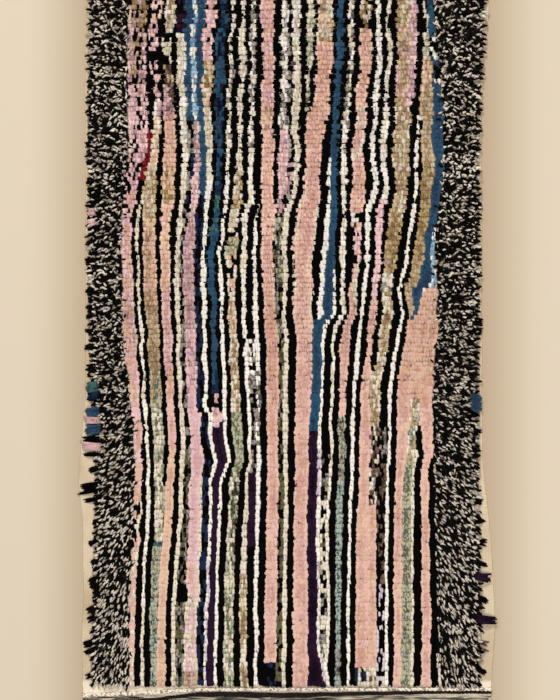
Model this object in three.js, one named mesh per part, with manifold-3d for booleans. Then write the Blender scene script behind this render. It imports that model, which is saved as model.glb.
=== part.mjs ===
// A boucherouite rug: one hand-knotted rag cloth that lies flat, in millimetres with +Z up.
// X runs across the rug and Y along it, from the foot to the head. Its underside is at z = 0.
import * as THREE from "three";
import { mergeVertices } from "three/addons/utils/BufferGeometryUtils.js";
import Module from "manifold-3d";

const wasm = await Module();
wasm.setup();

// Driving dimensions: the rug over its locks, and the heights of its parts.
const LENGTH = 2000;
const WIDTH_OVER_LOCKS = 1100;
const RIM_THICKNESS = 3;
const GROUND_THICKNESS = 4;
const TWINED_LINE_HEIGHT = 7;
const RIB_CREST_HEIGHT = 16;
const RIB_VALLEY_HEIGHT = 11.5;
const SHAG_HEIGHT = 21;
const SHAG_EDGE_HEIGHT = 9;

// The flat-woven hem at each end, measured in from the end of the cloth.
const HEM = { twinedLine: 28, pileFoot: 42, pileTop: 58 };

// How uneven the hand work is.
const RIB_UNEVENNESS = 1.6;
const SHAG_UNEVENNESS = 6;
const RIB_WANDER = 2.2;
const RIB_STEP_ALONG = 76;

// The rug's sections from foot to head, with the places across it from the centre line.
const SECTION_COLUMNS = [
  "y", "clothLeft", "shagLeft", "fieldLeft", "middle", "fieldRight", "shagRight", "clothRight",
];
const SECTIONS = [
  [-1000, -528, -507, -406, -8, 398, 499, 528],
  [-833, -533, -504, -408, -5, 393, 502, 538],
  [-776, -530, -502, -408, -5, 391, 502, 546],
  [-729, -528, -502, -408, -5, 390, 502, 538],
  [-650, -526, -498, -404, -4, 386, 502, 528],
  [-521, -530, -494, -398, -3, 382, 502, 525],
  [-417, -541, -494, -393, -3, 380, 501, 511],
  [-287, -530, -499, -400, -3, 380, 498, 505],
  [-79, -523, -507, -421, -3, 382, 496, 503],
  [181, -523, -511, -429, -8, 382, 496, 503],
  [441, -525, -511, -408, 26, 403, 496, 503],
  [701, -523, -510, -413, 29, 387, 498, 507],
  [831, -517, -508, -408, 31, 377, 502, 528],
  [1000, -517, -508, -408, 31, 377, 502, 528],
].map((row) => Object.fromEntries(row.map((value, i) => [SECTION_COLUMNS[i], value])));

// The lengthwise stripes of the field from left to right, each a rib some knots wide.
const STRIPES = [
  { rag: "rose", knots: 1.2 }, { rag: "black", knots: 1.2 }, { rag: "cream", knots: 1 },
  { rag: "black", knots: 1 }, { rag: "sage", knots: 1.6 }, { rag: "peach", knots: 2.2 },
  { rag: "black", knots: 1 }, { rag: "cream", knots: 1 }, { rag: "tweed", knots: 1.6 },
  { rag: "mauve", knots: 2.4 }, { rag: "navy", knots: 1.2 }, { rag: "lilac", knots: 0.9 },
  { rag: "plum", knots: 1.2 }, { rag: "white", knots: 0.9 }, { rag: "black", knots: 1 },
  { rag: "sage", knots: 2.2 }, { rag: "black", knots: 1 }, { rag: "tan", knots: 2 },
  { rag: "black", knots: 1 }, { rag: "white", knots: 1 }, { rag: "black", knots: 1 },
  { rag: "pink", knots: 2.2 }, { rag: "tweed", knots: 1.1 }, { rag: "cream", knots: 1 },
  { rag: "black", knots: 1.1 }, { rag: "pink", knots: 3.4 }, { rag: "plum", knots: 1.6 },
  { rag: "white", knots: 0.9 }, { rag: "tweed", knots: 1.2 }, { rag: "cream", knots: 0.9 },
  { rag: "black", knots: 1 }, { rag: "mint", knots: 1.6 }, { rag: "black", knots: 1 },
  { rag: "white", knots: 1 }, { rag: "black", knots: 1 }, { rag: "salmon", knots: 4.4 },
  { rag: "brown", knots: 1.2 }, { rag: "white", knots: 0.9 }, { rag: "black", knots: 1 },
  { rag: "pink", knots: 1.8 }, { rag: "sage", knots: 2 }, { rag: "cream", knots: 0.9 },
  { rag: "black", knots: 1.2 }, { rag: "pink", knots: 2 }, { rag: "black", knots: 1.1 },
  { rag: "cream", knots: 1 },
];
// Stripes this wide have two crests, and the middle stripe lies at this share of the field's width.
const WIDE_STRIPE = 3;
const MIDDLE_SHARE = 0.495;

// The places of the shag's lumps, as shares of a border's width from its outer edge.
const SHAG_LUMPS = [0.2, 0.45, 0.7, 0.92];

// Locks that lie over the bare side margins. The loop spaces most of them, and these few are the
// long ones: side is -1 for the left, y the place along it, reach how far they pass the cloth.
const LOCK_PITCH = 44;
const LONG_LOCK_ROOM = 30;
const LOCK = { width: 10, height: 6, reach: 8, reachSpread: 8, rootInside: 12 };
const LONG_LOCKS = [
  { side: -1, y: -760, reach: 8, width: 10 },
  { side: -1, y: -438, reach: 12, width: 24 },
  { side: -1, y: -308, reach: 14, width: 15 },
  { side: -1, y: -232, reach: 9, width: 16 },
  { side: -1, y: -128, reach: 8, width: 20 },
  { side: 1, y: -774, reach: 6, width: 20 },
  { side: 1, y: -640, reach: 9, width: 12 },
  { side: 1, y: -212, reach: 8, width: 20 },
];
const LOCK_SWEEP = { above: 4, below: -26, from: 0, to: -500 };

// A fixed number between -1 and 1 for a knot's place, so that the rug comes out the same each time.
function uneven(i, j) {
  const wave = Math.sin(i * 12.9898 + j * 78.233) * 43758.5453;
  return 2 * (wave - Math.floor(wave)) - 1;
}

// The places across the rug at a distance y along it, eased between the two nearest sections.
function sectionAt(y) {
  const last = SECTIONS.length - 1;
  const above = Math.min(Math.max(SECTIONS.findIndex((s) => s.y >= y), 1), last);
  const [from, to] = [SECTIONS[above - 1], SECTIONS[above]];
  const t = THREE.MathUtils.smoothstep(y, from.y, to.y);
  return Object.fromEntries(
    SECTION_COLUMNS.map((key) => [key, THREE.MathUtils.lerp(from[key], to[key], t)]),
  );
}

// The columns of points across the cloth. Each has a place between two named edges, a height with
// its unevenness, and whether it is bare ground weave.
function clothColumns() {
  const columns = [
    { from: "clothLeft", to: "clothLeft", at: 0, height: RIM_THICKNESS, bare: true },
    { from: "shagLeft", to: "shagLeft", at: 0, height: SHAG_EDGE_HEIGHT, rough: 2 },
  ];
  for (const at of SHAG_LUMPS) {
    columns.push({ from: "shagLeft", to: "fieldLeft", at, height: SHAG_HEIGHT, rough: SHAG_UNEVENNESS });
  }
  const allKnots = STRIPES.reduce((sum, stripe) => sum + stripe.knots, 0);
  const addRib = (share, height, rough) => {
    const left = share < MIDDLE_SHARE;
    columns.push({
      from: left ? "fieldLeft" : "middle",
      to: left ? "middle" : "fieldRight",
      at: left ? share / MIDDLE_SHARE : (share - MIDDLE_SHARE) / (1 - MIDDLE_SHARE),
      height,
      rough,
      wander: RIB_WANDER,
    });
  };
  let knots = 0;
  addRib(0, RIB_VALLEY_HEIGHT, 1);
  for (const stripe of STRIPES) {
    const crests = stripe.knots >= WIDE_STRIPE ? [0.25, 0.75] : [0.5];
    for (const crest of crests) {
      addRib((knots + crest * stripe.knots) / allKnots, RIB_CREST_HEIGHT, RIB_UNEVENNESS);
    }
    knots += stripe.knots;
    addRib(knots / allKnots, RIB_VALLEY_HEIGHT, 1);
  }
  for (const at of SHAG_LUMPS) {
    columns.push({
      from: "shagRight", to: "fieldRight", at: 1 - at, height: SHAG_HEIGHT, rough: SHAG_UNEVENNESS,
    });
  }
  columns.push(
    { from: "shagRight", to: "shagRight", at: 0, height: SHAG_EDGE_HEIGHT, rough: 2 },
    { from: "clothRight", to: "clothRight", at: 0, height: RIM_THICKNESS, bare: true },
  );
  return columns;
}

// The rows of points along the cloth: the end, the twined line, the foot and top of the pile, and
// then even steps. Pile is 0 on the hems and 1 where the knots stand full height.
function clothRows() {
  const end = LENGTH / 2;
  const hem = [
    { y: end, pile: 0, ground: RIM_THICKNESS },
    { y: end - HEM.twinedLine, pile: 0, ground: TWINED_LINE_HEIGHT },
    { y: end - HEM.pileFoot, pile: 0, ground: GROUND_THICKNESS },
    { y: end - HEM.pileTop, pile: 1, ground: GROUND_THICKNESS },
  ];
  const pileEnd = end - HEM.pileTop;
  const steps = Math.round((2 * pileEnd) / RIB_STEP_ALONG);
  const rows = hem.map((row) => ({ ...row, y: -row.y }));
  for (let i = 1; i < steps; i++) {
    rows.push({ y: -pileEnd + (2 * pileEnd * i) / steps, pile: 1, ground: GROUND_THICKNESS });
  }
  return [...rows, ...hem.reverse()];
}

// The cloth as one closed solid: the lumpy top, the thin rim and a flat underside.
function clothGeometry() {
  const columns = clothColumns();
  const rows = clothRows();
  const positions = [];
  const index = [];
  for (const [j, row] of rows.entries()) {
    const section = sectionAt(row.y);
    for (const [i, column] of columns.entries()) {
      const from = section[column.from];
      const to = section[column.to];
      const wander = row.pile * (column.wander ?? 0) * uneven(j + 7, Math.floor(i / 2));
      const pile = column.height + uneven(i, j) * (column.rough ?? 0);
      const z = column.bare ? column.height : THREE.MathUtils.lerp(row.ground, pile, row.pile);
      positions.push(THREE.MathUtils.lerp(from, to, column.at) + wander, row.y, z);
    }
  }
  const across = columns.length;
  const along = rows.length;
  for (let j = 0; j + 1 < along; j++) {
    for (let i = 0; i + 1 < across; i++) {
      const a = j * across + i;
      const c = a + across;
      index.push(a, a + 1, c + 1, a, c + 1, c);
    }
  }
  // The rim goes once round the top, anticlockwise from above, and drops straight to the floor.
  const rim = [];
  for (let i = 0; i < across - 1; i++) rim.push(i);
  for (let j = 0; j < along - 1; j++) rim.push(j * across + across - 1);
  for (let i = across - 1; i > 0; i--) rim.push((along - 1) * across + i);
  for (let j = along - 1; j > 0; j--) rim.push(j * across);
  const under = rim.map((vertex) => {
    positions.push(positions[3 * vertex], positions[3 * vertex + 1], 0);
    return positions.length / 3 - 1;
  });
  for (let k = 0; k < rim.length; k++) {
    const next = (k + 1) % rim.length;
    index.push(rim[k], under[k], under[next], rim[k], under[next], rim[next]);
  }
  const outline = under.map((v) => new THREE.Vector2(positions[3 * v], positions[3 * v + 1]));
  for (const [a, b, c] of THREE.ShapeUtils.triangulateShape(outline, [])) {
    index.push(under[a], under[c], under[b]);
  }
  return indexedGeometry(positions, index);
}

// One lock: a three-sided tapered strand whose two lower edges lie level on the floor.
function lockGeometry(root, tip, bow, width, height) {
  const stations = [
    { t: 0, wide: 1, high: 1 },
    { t: 0.45, wide: 1.1, high: 0.9 },
    { t: 0.8, wide: 0.8, high: 0.7 },
    { t: 1, wide: 0.3, high: 0.4 },
  ];
  const side = new THREE.Vector2(root.y - tip.y, tip.x - root.x).normalize();
  const positions = [];
  const index = [];
  for (const { t, wide, high } of stations) {
    const middle = root.clone().lerp(tip, t).addScaledVector(side, bow * Math.sin(Math.PI * t));
    const half = 0.5 * width * wide;
    positions.push(middle.x + side.x * half, middle.y + side.y * half, 0);
    positions.push(middle.x - side.x * half, middle.y - side.y * half, 0);
    positions.push(middle.x, middle.y, height * high);
  }
  const sides = 3;
  for (let s = 0; s + 1 < stations.length; s++) {
    for (let k = 0; k < sides; k++) {
      const a = s * sides + k;
      const b = s * sides + ((k + 1) % sides);
      index.push(a, a + sides, b + sides, a, b + sides, b);
    }
  }
  const end = (stations.length - 1) * sides;
  index.push(0, 1, 2, end, end + 2, end + 1);
  return indexedGeometry(positions, index);
}

function indexedGeometry(positions, index) {
  const geometry = new THREE.BufferGeometry();
  geometry.setAttribute("position", new THREE.Float32BufferAttribute(positions, 3));
  geometry.setIndex(index);
  return geometry;
}

// Every lock of both sides, with the places of the long ones kept free by the loop.
function lockList() {
  const locks = LONG_LOCKS.map((lock) => ({ ...lock }));
  const pileEnd = LENGTH / 2 - HEM.pileTop;
  for (const side of [-1, 1]) {
    const count = Math.floor((2 * pileEnd) / LOCK_PITCH);
    for (let i = 0; i < count; i++) {
      const y = -pileEnd + LOCK_PITCH * (i + 0.5 + 0.3 * uneven(i, side));
      const near = (lock) => lock.side === side && Math.abs(lock.y - y) < LONG_LOCK_ROOM;
      if (LONG_LOCKS.some(near)) continue;
      const reach = LOCK.reach + LOCK.reachSpread * uneven(i + 31, side);
      locks.push({ side, y, reach, width: LOCK.width * (1 + 0.35 * uneven(i + 57, side)) });
    }
  }
  return locks;
}

// A lock runs out from inside the shag, over the margin and on to the floor, and the locks of the
// lower half sweep towards the foot.
function lockSolid({ side, y, reach, width }, number) {
  const section = sectionAt(y);
  const shag = side < 0 ? section.shagLeft : section.shagRight;
  const cloth = side < 0 ? section.clothLeft : section.clothRight;
  const half = WIDTH_OVER_LOCKS / 2;
  const down = THREE.MathUtils.smoothstep(-y, -LOCK_SWEEP.from, -LOCK_SWEEP.to);
  const lean = THREE.MathUtils.lerp(LOCK_SWEEP.above, LOCK_SWEEP.below, down);
  const sweep = lean * (1 + 0.4 * uneven(number, 5));
  const root = new THREE.Vector2(shag - side * LOCK.rootInside, y - 0.3 * sweep);
  const tip = new THREE.Vector2(side * Math.min(Math.abs(cloth) + reach, half), y + 0.7 * sweep);
  return lockGeometry(root, tip, 2.5 * uneven(number, 9), width, LOCK.height);
}

// A geometry as a solid, and a solid as a geometry.
function solidOf(geometry) {
  const merged = mergeVertices(geometry, 1e-3);
  return new wasm.Manifold(new wasm.Mesh({
    numProp: 3,
    vertProperties: merged.getAttribute("position").array,
    triVerts: new Uint32Array(merged.index.array),
  }));
}

function geometryOf(solid) {
  const mesh = solid.getMesh();
  const geometry = indexedGeometry(Array.from(mesh.vertProperties), Array.from(mesh.triVerts));
  geometry.computeVertexNormals();
  return geometry;
}

// The rug: the cloth and its locks joined as one solid.
function rugMesh() {
  let solid = solidOf(clothGeometry());
  for (const [number, lock] of lockList().entries()) {
    solid = solid.add(solidOf(lockSolid(lock, number)));
  }
  const rags = new THREE.MeshStandardMaterial({ color: 0xb98e80, roughness: 0.95, metalness: 0 });
  const mesh = new THREE.Mesh(geometryOf(solid), rags);
  mesh.name = "rug";
  return mesh;
}

const rug = new THREE.Group();
rug.add(rugMesh());

export default rug;
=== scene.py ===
import math

import bpy
import numpy as np
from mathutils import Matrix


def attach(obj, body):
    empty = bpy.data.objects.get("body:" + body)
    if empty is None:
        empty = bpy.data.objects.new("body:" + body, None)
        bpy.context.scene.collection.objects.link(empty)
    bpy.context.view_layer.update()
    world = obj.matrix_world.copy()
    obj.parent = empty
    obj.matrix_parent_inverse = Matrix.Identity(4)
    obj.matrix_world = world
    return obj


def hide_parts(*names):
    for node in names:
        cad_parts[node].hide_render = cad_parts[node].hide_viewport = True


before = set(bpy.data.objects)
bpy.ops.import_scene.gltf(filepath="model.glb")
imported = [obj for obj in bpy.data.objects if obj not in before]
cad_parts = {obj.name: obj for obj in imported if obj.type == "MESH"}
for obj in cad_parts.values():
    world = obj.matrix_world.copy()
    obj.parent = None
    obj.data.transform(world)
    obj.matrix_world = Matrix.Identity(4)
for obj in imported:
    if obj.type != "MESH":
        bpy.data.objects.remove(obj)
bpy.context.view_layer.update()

# The weaver's plan
# The rug is one cloth on a ground weave. Each row of the plan is a place down the photograph, and
# holds where the edges and the twelve guide lines of the field lie there, read off.
MM = 0.001
PIXEL = 2.6 * MM
MIDDLE_COLUMN = 287
MIDDLE_ROW = 319.5
RUG_LENGTH = 2000 * MM

PLAN_NAMES = "row cloth_left shag_left a b c d e f g h i j k l shag_right cloth_right".split()
PLAN = np.array([
    (-65, 88, 91, 130, 181, 231, 260.5, 300, 332, 343, 359, 386, 423, 423, 432.5, 483.5, 489),
    (10, 88, 91, 130, 181, 231, 260.5, 300, 332, 343, 359, 386, 423, 423, 432.5, 483.5, 488.5),
    (50, 86, 90, 128, 177, 229.5, 262, 300.5, 332.5, 342.5, 360.5, 388, 423, 423, 436, 482, 484),
    (100, 85.5, 90, 128, 179.5, 228, 262, 300, 328, 340, 356, 384, 419, 420.5, 441, 478.5, 481.5),
    (150, 85.5, 90, 130, 182, 227, 262, 299.5, 323.5, 337.5, 352.5, 380, 414, 421.5, 442, 477.5, 481),
    (190, 86, 90, 124, 180.5, 225, 262, 297, 319.5, 337, 351, 383.5, 413.5, 420, 441, 477.5, 481),
    (210, 86, 90, 122.5, 178, 223, 262, 290, 317, 336.5, 350, 377.5, 410, 420, 437, 477.5, 481),
    (250, 86, 90, 122.5, 175, 218.5, 261.5, 286.5, 313.5, 334.5, 354, 375, 404, 413, 434, 477.5, 481.5),
    (265, 86, 90, 122.5, 175, 219, 262, 286.5, 312.5, 335, 353, 374, 403.5, 412, 434, 477.5, 481),
    (290, 86, 90, 123, 175, 219, 263, 287, 311.5, 335.5, 350, 371, 396.5, 403.5, 436, 477, 481),
    (312, 86, 91, 124, 175, 220, 264, 287.5, 311, 336, 349, 370, 401, 409, 437, 477, 481),
    (325, 86, 91, 124, 175, 220.5, 264.5, 287.5, 311.5, 327, 343, 368, 399, 408.5, 438, 477, 481),
    (350, 86, 92, 125, 175, 221.5, 266, 288, 311.5, 324, 339.5, 365, 393, 403, 434, 476.5, 481.5),
    (390, 86, 93, 130, 178, 222, 266.5, 288, 310.5, 323, 339, 360, 387, 397.5, 431, 476.5, 481.5),
    (430, 83, 95, 134.5, 180.5, 223, 267.5, 288.5, 309, 321.5, 338.5, 359.5, 388, 396.5, 432, 476.5, 482),
    (460, 80, 97, 136, 180, 227, 267, 288, 308.5, 322, 338, 359, 387, 396, 433, 477, 482.5),
    (480, 79, 97, 136, 179, 219, 267, 288, 308, 322, 337, 358, 386, 395, 433, 477.5, 483.5),
    (520, 83, 97, 134, 178, 218, 266.5, 288, 306.5, 320, 335.5, 356, 384, 393.5, 434, 478.5, 489),
    (600, 84, 94, 130, 172, 215, 264.5, 287, 308, 320.5, 335.5, 355.5, 384, 393.5, 437, 480, 494),
    (640, 82, 93, 130, 171.5, 214, 265, 286.5, 308, 319.5, 335, 355, 384, 393.5, 438, 480, 494),
    (680, 83, 92, 130, 171, 213.5, 264.5, 286, 308.5, 326, 334.5, 355, 384, 393.5, 441, 479, 491),
    (704, 84, 92, 130, 171, 213.5, 264.5, 286, 308.5, 326, 334.5, 355, 384, 393.5, 441, 479, 490),
])
rows_of_plan = PLAN[:, 0]


def across(column):
    return (column - MIDDLE_COLUMN) * PIXEL


def along(row):
    return (MIDDLE_ROW - row) * PIXEL


def row_at(y):
    return MIDDLE_ROW - y / PIXEL


def guide(name, row):
    """Where one of the plan's lines lies at a row of the photograph, in metres across the rug."""
    return across(np.interp(row, rows_of_plan, PLAN[:, PLAN_NAMES.index(name)]))


def dye(red, green, blue):
    """A rag's colour as seen, from 0 to 255, in the linear values that a shader takes."""
    seen = np.array([red, green, blue]) / 255
    linear = np.where(seen <= 0.04045, seen / 12.92, ((seen + 0.055) / 1.055) ** 2.4)
    return (*(float(value) for value in linear), 1.0)


# Ground cloth
# An undyed plain weave of wool and cotton, warp along the rug, all one cloth with the knotted field.
# It shows as bare margins and as a hem at each end, and the knots show through its back.
FIELD_FOOT_ROW, FIELD_HEAD_ROW = 683.5, -48.5
ALONG_CUTS, ACROSS_CUTS = 150, 44
GROUND_THICKNESS = 3.2 * MM
GROUND_TOP = 4.0 * MM
WARP_PITCH = 4.2 * MM
WEFT_PITCH = 2.6 * MM
CREAM_WOOL = dye(236, 218, 188)
HEM_GREY = dye(120, 110, 98)
HEM_DARK = dye(30, 25, 22)
PALE_HEM = dye(252, 238, 216)
STREAKY_BAND, PALE_BAND = (26.04 * MM, 21 * MM), (66 * MM, 56 * MM)
HEM_STREAK = (18, 420, 1)
# Painted shade: the top of the cloth under the pile is coloured dark, as the knots above shade it.
PAINTED_PILE_SHADE = dye(52, 44, 38)
KNOTS_SHOW_BELOW = 0.75
BACK_LOOP = (62, 2.4, 1)
FRAY = 1.2 * MM
END_SAG = 3 * MM
GROUND_DIP, GROUND_RIPPLE = 0.35 * MM, 0.3 * MM
COVERED_WITHIN = 8 * MM
WAVE_REPEAT = 0.314


class Thread:
    """A socket of a finish, on which sums and products add Math nodes to that finish."""

    def __init__(self, tree, socket=None):
        self.tree = tree
        self.socket = socket

    def node(self, kind, settings, values, output=0):
        made = self.tree.nodes.new(kind)
        for name, value in settings.items():
            setattr(made, name, value)
        for name, value in values.items():
            if isinstance(value, Thread):
                self.tree.links.new(value.socket, made.inputs[name])
            else:
                made.inputs[name].default_value = value
        return Thread(self.tree, made.outputs[output])

    def maths(self, operation, first, second):
        return self.node("ShaderNodeMath", {"operation": operation}, {0: first, 1: second})

    def __add__(self, other):
        return self.maths("ADD", self, other)

    def __sub__(self, other):
        return self.maths("SUBTRACT", self, other)

    def __rsub__(self, other):
        return self.maths("SUBTRACT", other, self)

    def __mul__(self, other):
        return self.maths("MULTIPLY", self, other)

    __radd__ = __add__
    __rmul__ = __mul__


class Finish:
    """A cloth's material: a Principled shader with soft sheen, and the ways to pattern it."""

    def __init__(self, name, colour, roughness=0.9, sheen=0.25, specular=0.12):
        self.material = bpy.data.materials.new(name)
        self.material.use_nodes = True
        self.tree = self.material.node_tree
        self.shader = self.tree.nodes["Principled BSDF"]
        self.start = Thread(self.tree)
        self.shader.inputs["Base Color"].default_value = colour
        self.shader.inputs["Roughness"].default_value = roughness
        self.shader.inputs["Specular IOR Level"].default_value = specular
        self.shader.inputs["Sheen Weight"].default_value = sheen
        self.shader.inputs["Sheen Roughness"].default_value = 0.5

    def place(self):
        return self.start.node("ShaderNodeTexCoord", {}, {}, output="Object")

    def part_of(self, vector, axis):
        return self.start.node("ShaderNodeSeparateXYZ", {}, {0: vector}, output=axis)

    def noise(self, vector, scale, detail=3.0):
        values = {"Vector": vector, "Scale": scale, "Detail": detail}
        return self.start.node("ShaderNodeTexNoise", {}, values)

    def stretched(self, vector, scale):
        return self.start.node("ShaderNodeMapping", {}, {"Vector": vector, "Scale": scale})

    def between(self, share, first, second, blend="MIX"):
        made = {"data_type": "RGBA", "blend_type": blend, "clamp_factor": True}
        return self.start.node("ShaderNodeMix", made, {0: share, 6: first, 7: second}, output=2)

    def attribute(self, name):
        return self.start.node("ShaderNodeAttribute", {"attribute_name": name}, {}, output="Fac")

    def step(self, value, low, high):
        values = {"Value": value, "From Min": low, "From Max": high}
        return self.start.node("ShaderNodeMapRange", {"interpolation_type": "SMOOTHSTEP"}, values)

    def give(self, socket, thread):
        self.tree.links.new(thread.socket, self.shader.inputs[socket])

    def raised(self, height, depth):
        values = {"Height": height, "Distance": depth, "Strength": 1.0}
        self.give("Normal", self.start.node("ShaderNodeBump", {}, values))


def uneven(first, second):
    """Smooth unevenness from -1 to 1 of hand work, from the sum of a few slow waves."""
    return (
        0.5 * np.sin(11.3 * first + 4.1 * second + 0.7)
        + 0.3 * np.sin(-7.9 * first + 13.7 * second + 2.1)
        + 0.2 * np.sin(29.0 * first + 23.0 * second + 4.0)
    )


bpy.ops.object.select_all(action="DESELECT")
bpy.ops.mesh.primitive_grid_add(x_subdivisions=ACROSS_CUTS, y_subdivisions=ALONG_CUTS, size=1)
ground = bpy.context.object
ground.name = "ground_cloth"
under_knots = []
for vertex in ground.data.vertices:
    y = vertex.co.y * RUG_LENGTH
    row = row_at(y)
    left, right = guide("cloth_left", row), guide("cloth_right", row)
    fray = FRAY * uneven(vertex.co.x * 3, y * 9) * abs(2 * vertex.co.x) ** 8
    at_end = abs(2 * vertex.co.y) ** 30
    sag = END_SAG * (uneven(vertex.co.x * 1.5, 0.3) - math.copysign(1, y)) * at_end
    vertex.co.x = left + (right - left) * (vertex.co.x + 0.5) + fray
    vertex.co.y = y + sag
    vertex.co.z = GROUND_TOP - GROUND_DIP + GROUND_RIPPLE * uneven(vertex.co.x * 6, y * 5)
    inside = min(
        vertex.co.x - guide("shag_left", row), guide("shag_right", row) - vertex.co.x,
        y - along(FIELD_FOOT_ROW), along(FIELD_HEAD_ROW) - y,
    )
    under_knots.append(float(inside > COVERED_WITHIN))
hidden = ground.data.attributes.new("covered", "FLOAT", "POINT")
hidden.data.foreach_set("value", np.array(under_knots, dtype=np.float32))
thick = ground.modifiers.new("thickness", "SOLIDIFY")
thick.thickness = GROUND_THICKNESS
thick.offset = -1
bpy.ops.object.modifier_apply(modifier=thick.name)
bpy.ops.object.shade_smooth_by_angle(angle=math.radians(50))
ground.data.attributes.new("behind", "FLOAT", "POINT")
above, behind = (ground.data.attributes[name].data for name in ("covered", "behind"))
for vertex in ground.data.vertices:
    if vertex.co.z < GROUND_TOP / 2:
        behind[vertex.index].value = above[vertex.index].value
        above[vertex.index].value = 0.0

weave = Finish("undyed ground weave", CREAM_WOOL, roughness=0.95, sheen=0.15)
place = weave.place()
from_middle = weave.start.maths("ABSOLUTE", weave.part_of(place, "Y"), 0.0)
hem, pale = (
    weave.step(from_middle, *(RUG_LENGTH / 2 - inward for inward in band))
    for band in (STREAKY_BAND, PALE_BAND)
)
streaks = weave.noise(weave.stretched(place, HEM_STREAK), 1.0, 4.0)
soiling = weave.noise(place, 9.0, 4.0)
warps, wefts = (
    weave.start.node(
        "ShaderNodeTexWave", {"bands_direction": axis},
        {"Vector": place, "Scale": WAVE_REPEAT / pitch, "Distortion": unevenness, "Detail": 2.0},
        output="Fac",
    )
    for axis, pitch, unevenness in (("X", WARP_PITCH, 1.2), ("Y", WEFT_PITCH, 1.6))
)
plain = weave.between(weave.step(soiling, 0.35, 0.7), CREAM_WOOL, dye(210, 188, 156))
plain = weave.between(warps * 0.3, plain, dye(188, 168, 138))
plain = weave.between(pale, plain, PALE_HEM)
streaky = weave.between(weave.step(streaks, 0.42, 0.6), HEM_GREY, CREAM_WOOL)
streaky = weave.between(weave.step(streaks, 0.46, 0.36), streaky, HEM_DARK)
# Painted shade: where the pile covers the cloth, its top is coloured dark.
shaded_by_pile = weave.step(weave.attribute("covered"), 0.0, 1.0)
bare = weave.between(shaded_by_pile, weave.between(hem, plain, streaky), PAINTED_PILE_SHADE)
loops = weave.noise(weave.stretched(place, BACK_LOOP), 1.0, 2.0)
back = weave.between(weave.step(loops, 0.5, 0.56), dye(70, 60, 56), dye(214, 170, 152))
back = weave.between(weave.step(loops, 0.42, 0.46), dye(222, 208, 182), back)
seen_through = weave.attribute("behind") * KNOTS_SHOW_BELOW - wefts * 0.5
weave.give("Base Color", weave.between(seen_through, bare, back))
weave.raised(warps * 0.6 + wefts * 0.4 + streaks * 0.4, 0.9 * MM)
ground.data.materials.clear()
ground.data.materials.append(weave.material)
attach(ground, "root")
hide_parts("rug")

# Twined lines
# Two dark wool yarns are twisted round each other across each end of the cloth, in two lines that
# hold the hem's wefts in. The lines sag with the cloth, lowest at its left side.
TWINE_YARN = 2.3 * MM
TWINE_TURN = 11 * MM
TWINE_STEPS = 300
TWINE_SIDES = 5
TWINE_COURSE = {
    75: 702.5, 120: 700.5, 150: 699, 175: 696, 200: 692.8, 240: 692.6, 280: 693.6, 330: 693,
    400: 692, 430: 691, 500: 691,
}
SECOND_LINE_BELOW = {75: 0.8, 190: 1.0, 210: 2.4, 280: 2.6, 330: 1.4, 500: 1.0}
LAST_WEFT_ROW = 703.2
YARN_WOBBLE = 0.8 * MM
YARN_LIFT, YARN_SWING = 0.9, 0.85


def bound_tube(paths, radius, sides):
    """Points and faces of closed round yarns along paths, an array of yarn, step and place."""
    count, steps, _ = paths.shape
    ahead = np.gradient(paths, axis=1)
    ahead /= np.linalg.norm(ahead, axis=2, keepdims=True)
    side = np.cross(ahead, np.array([0.0, 0.0, 1.0]))
    side /= np.linalg.norm(side, axis=2, keepdims=True)
    up = np.cross(side, ahead)
    turn = np.linspace(0, 2 * np.pi, sides, endpoint=False)
    ring = side[:, :, None] * np.cos(turn)[:, None] + up[:, :, None] * np.sin(turn)[:, None]
    points = (paths[:, :, None] + radius * ring).reshape(-1, 3)
    faces = []
    for yarn in range(count):
        first = yarn * steps * sides
        for step in range(steps - 1):
            for k in range(sides):
                a = first + step * sides + k
                b = first + step * sides + (k + 1) % sides
                faces.append((a, a + sides, b + sides, b))
        last = first + (steps - 1) * sides
        faces.append(tuple(first + k for k in range(sides)))
        faces.append(tuple(last + k for k in reversed(range(sides))))
    return points, faces


def cloth_piece(name, points, faces, finish, values=None):
    """A piece of the rug from points and faces, with its finish and what varies on it."""
    mesh = bpy.data.meshes.new(name)
    mesh.from_pydata(points, [], faces)
    for key, numbers in (values or {}).items():
        held = mesh.attributes.new(key, "FLOAT", "POINT")
        held.data.foreach_set("value", np.ascontiguousarray(numbers, dtype=np.float32))
    mesh.polygons.foreach_set("use_smooth", np.ones(len(mesh.polygons), dtype=bool))
    mesh.materials.append(finish.material)
    piece = bpy.data.objects.new(name, mesh)
    bpy.context.collection.objects.link(piece)
    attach(piece, "root")
    return piece


def chart(table, where):
    """What a table gives at a row or column, straight from one of its keys to the next."""
    return np.interp(where, list(table), list(table.values()))


def across_the_end(end, rise, course):
    """A yarn's path from side to side at the foot (-1) or the head (1), on a course of rows."""
    t = np.linspace(0, 1, TWINE_STEPS)
    x = guide("cloth_left", FIELD_FOOT_ROW) * (1 - t) + guide("cloth_right", FIELD_FOOT_ROW) * t
    row = chart(course, MIDDLE_COLUMN + x / PIXEL)
    y = -end * along(np.minimum(row, LAST_WEFT_ROW))
    wobble = YARN_WOBBLE * uneven(t * 9 + rise * 900, np.full_like(t, end * 2.0))
    return np.stack([x, y + wobble, np.full_like(t, GROUND_TOP + rise)], axis=1)


def twisted_pairs(course, yarn, turn, start=0.0):
    """Paths of two yarns twisted round each other across both ends of the rug."""
    paths = []
    for end in (1, -1):
        for strand in (0, np.pi):
            path = across_the_end(end, 0.0, course)
            angle = 2 * np.pi * path[:, 0] / turn + strand + start
            path[:, 1] += yarn * np.cos(angle)
            path[:, 2] += yarn * (YARN_LIFT + YARN_SWING * np.sin(angle))
            paths.append(path)
    return paths


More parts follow.
